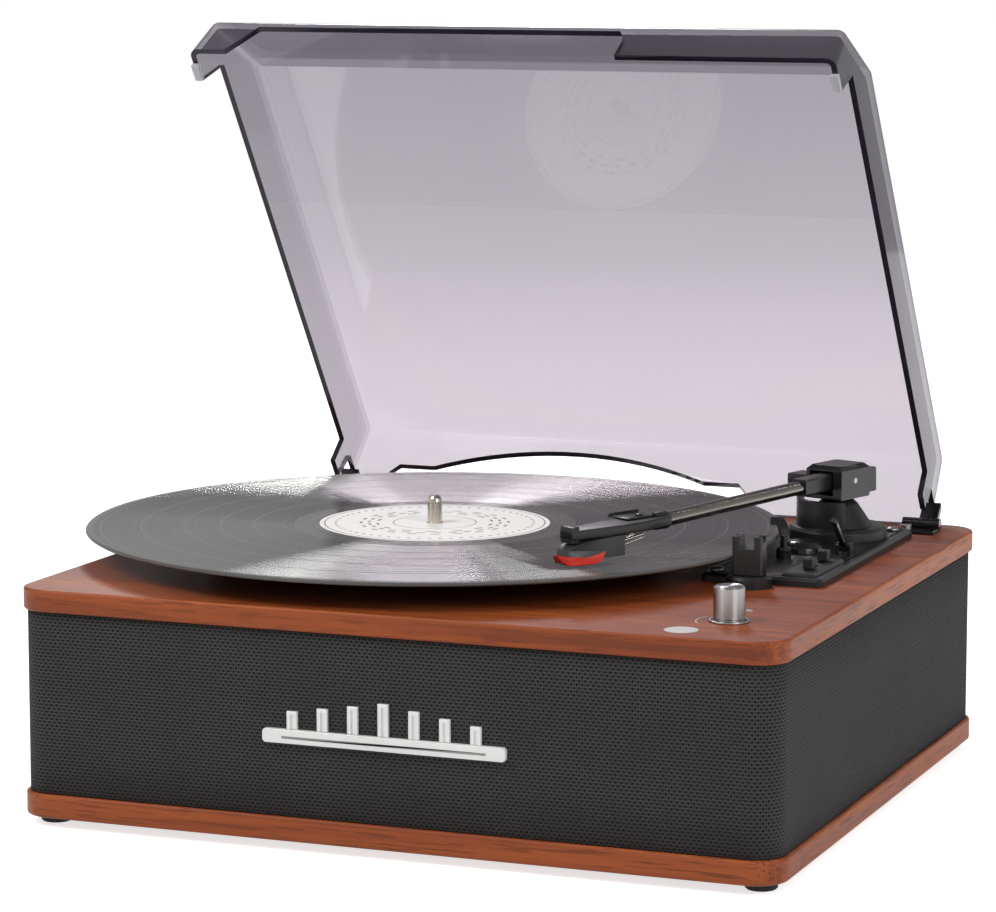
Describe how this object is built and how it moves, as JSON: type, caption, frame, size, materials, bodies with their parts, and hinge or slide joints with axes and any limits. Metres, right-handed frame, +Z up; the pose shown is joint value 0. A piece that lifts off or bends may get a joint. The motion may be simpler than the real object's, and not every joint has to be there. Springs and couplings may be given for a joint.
{
  "type": "record player",
  "caption": "Wooden-cased record player with built-in speakers behind black cloth, a belt-driven platter, a straight tonearm and a hinged smoked dust cover.",
  "frame": {"origin": "centre of the bottom board's underside, which the feet are screwed to", "axes": "+Z up, +X to the right along the front, the front faces -Y"},
  "size_m": [0.3547, 0.3202, 0.3264],
  "materials": {
    "wood": "satin reddish-brown veneer with a straight grain",
    "fabric": "black open-weave grille cloth",
    "board": "black-stained fibreboard",
    "rubber": "matt black rubber",
    "steel": "plain steel",
    "badge": "bright brushed silver",
    "black_plastic": "semi-gloss black moulding",
    "circuit": "green circuit board",
    "paper_cone": "pressed paper cone",
    "ferrite": "dark ferrite",
    "aluminium": "turned and brushed",
    "lamp": "small clear lens",
    "brass": "sintered bronze",
    "chrome": "polished",
    "gunmetal": "dark polished tube",
    "belt": "black belt",
    "vinyl": "grooved black vinyl",
    "label": "cream paper label",
    "gold": "gold-plated pins",
    "red_plastic": "bright red moulding",
    "smoked": "smoked clear acrylic",
    "clear_rubber": "translucent bumper",
    "weight_grey": "dark grey paint"
  },
  "bodies": {
    "cabinet": {"bottom_board": "wood", "top_board": "wood", "front_baffle": "board", "side_panels": "board", "rear_panel": "board", "corner_posts": "board", "grille_cloth": "fabric", "rubber_feet": "rubber", "steel_screws": "steel", "badge_bar": "badge", "badge_posts": "badge", "jack_plate": "black_plastic", "input_jacks": "black_plastic", "rca_jacks": "steel", "speaker_frames": "steel", "speaker_magnets": "ferrite", "main_board": "circuit", "board_components": "aluminium", "volume_pot": "steel", "knob_collar": "aluminium", "pilot_lamp": "lamp", "bearing_bush": "brass", "motor_case": "steel", "drive_belt": "belt", "arm_plate": "black_plastic", "arm_plate_screws": "steel", "arm_rest_post": "black_plastic", "arm_pivot_base": "black_plastic", "cue_housing": "black_plastic", "hinge_brackets": "black_plastic", "hinge_pins": "steel"},
    "lid": {"dust_cover": "smoked", "cover_bumpers": "clear_rubber", "hinge_leaves": "black_plastic"},
    "platter_set": {"platter": "black_plastic", "platter_mat": "rubber", "spindle": "chrome", "record": "vinyl", "record_labels": "label"},
    "motor_rotor": {"motor_shaft": "steel", "motor_pulley": "brass"},
    "arm_turret": {"arm_yoke": "black_plastic", "tilt_pins": "steel"},
    "arm": {"tube_holder": "black_plastic", "arm_tube": "gunmetal", "counterweight": "weight_grey", "headshell": "black_plastic", "finger_lift": "black_plastic", "cartridge": "black_plastic", "cartridge_pins": "gold", "stylus": "red_plastic"},
    "speed_switch": {"speed_knob": "black_plastic"},
    "auto_stop_switch": {"auto_stop_knob": "black_plastic"},
    "volume_control": {"volume_shaft": "steel", "volume_knob": "aluminium"},
    "cue_handle": {"cue_lever": "black_plastic"},
    "cue_platform": {"cue_lift": "black_plastic"},
    "left_cone": {"left_speaker_cone": "paper_cone"},
    "right_cone": {"right_speaker_cone": "paper_cone"}
  },
  "joints": [
    {"name": "lid_hinge", "type": "hinge", "parent": "cabinet", "child": "lid", "pos_m": [0, 0.13, 0.0986], "axis": [1, 0, 0], "range_deg": [0, 55]},
    {"name": "platter_spin", "type": "hinge", "parent": "cabinet", "child": "platter_set", "pos_m": [-0.0389, 0, 0.0955], "axis": [0, 0, 1], "continuous": true},
    {"name": "motor_spin", "type": "hinge", "parent": "cabinet", "child": "motor_rotor", "pos_m": [-0.09688, -0.05798, 0.0955], "axis": [0, 0, 1], "continuous": true},
    {"name": "tonearm_swing", "type": "hinge", "parent": "cabinet", "child": "arm_turret", "pos_m": [0.119, 0.08, 0.1155], "axis": [0, 0, 1], "range_deg": [-24, 15.7]},
    {"name": "tonearm_lift", "type": "hinge", "parent": "arm_turret", "child": "arm", "pos_m": [0.119, 0.08, 0.12455], "axis": [-0.9542, 0.299, 0], "range_deg": [0, 2.5]},
    {"name": "cue_lever_turn", "type": "hinge", "parent": "cabinet", "child": "cue_handle", "pos_m": [0.1353, 0.0355, 0.1021], "axis": [-1, 0, 0], "range_deg": [0, 40]},
    {"name": "cue_platform_rise", "type": "slide", "parent": "cabinet", "child": "cue_platform", "axis": [0, 0, 1], "range_m": [0, 0.0024]},
    {"name": "speed_select", "type": "slide", "parent": "cabinet", "child": "speed_switch", "axis": [0, 1, 0], "range_m": [0, 0.008]},
    {"name": "auto_stop_select", "type": "slide", "parent": "cabinet", "child": "auto_stop_switch", "axis": [0, 1, 0], "range_m": [-0.004, 0]},
    {"name": "volume_turn", "type": "hinge", "parent": "cabinet", "child": "volume_control", "pos_m": [0.132, -0.112, 0.0955], "axis": [0, 0, 1], "range_deg": [-150, 150]},
    {"name": "left_cone_travel", "type": "slide", "parent": "cabinet", "child": "left_cone", "axis": [0, -1, 0], "range_m": [-0.001, 0.001], "stiffness_N_per_m": 1500},
    {"name": "right_cone_travel", "type": "slide", "parent": "cabinet", "child": "right_cone", "axis": [0, -1, 0], "range_m": [-0.001, 0.001], "stiffness_N_per_m": 1500}
  ],
  "couplings": [
    {"joint": "motor_spin", "follows": "platter_spin", "ratio": 11.273},
    {"joint": "cue_lever_turn", "follows": "tonearm_lift", "ratio": 16},
    {"joint": "cue_platform_rise", "follows": "tonearm_lift", "m_per_rad": 0.053}
  ]
}
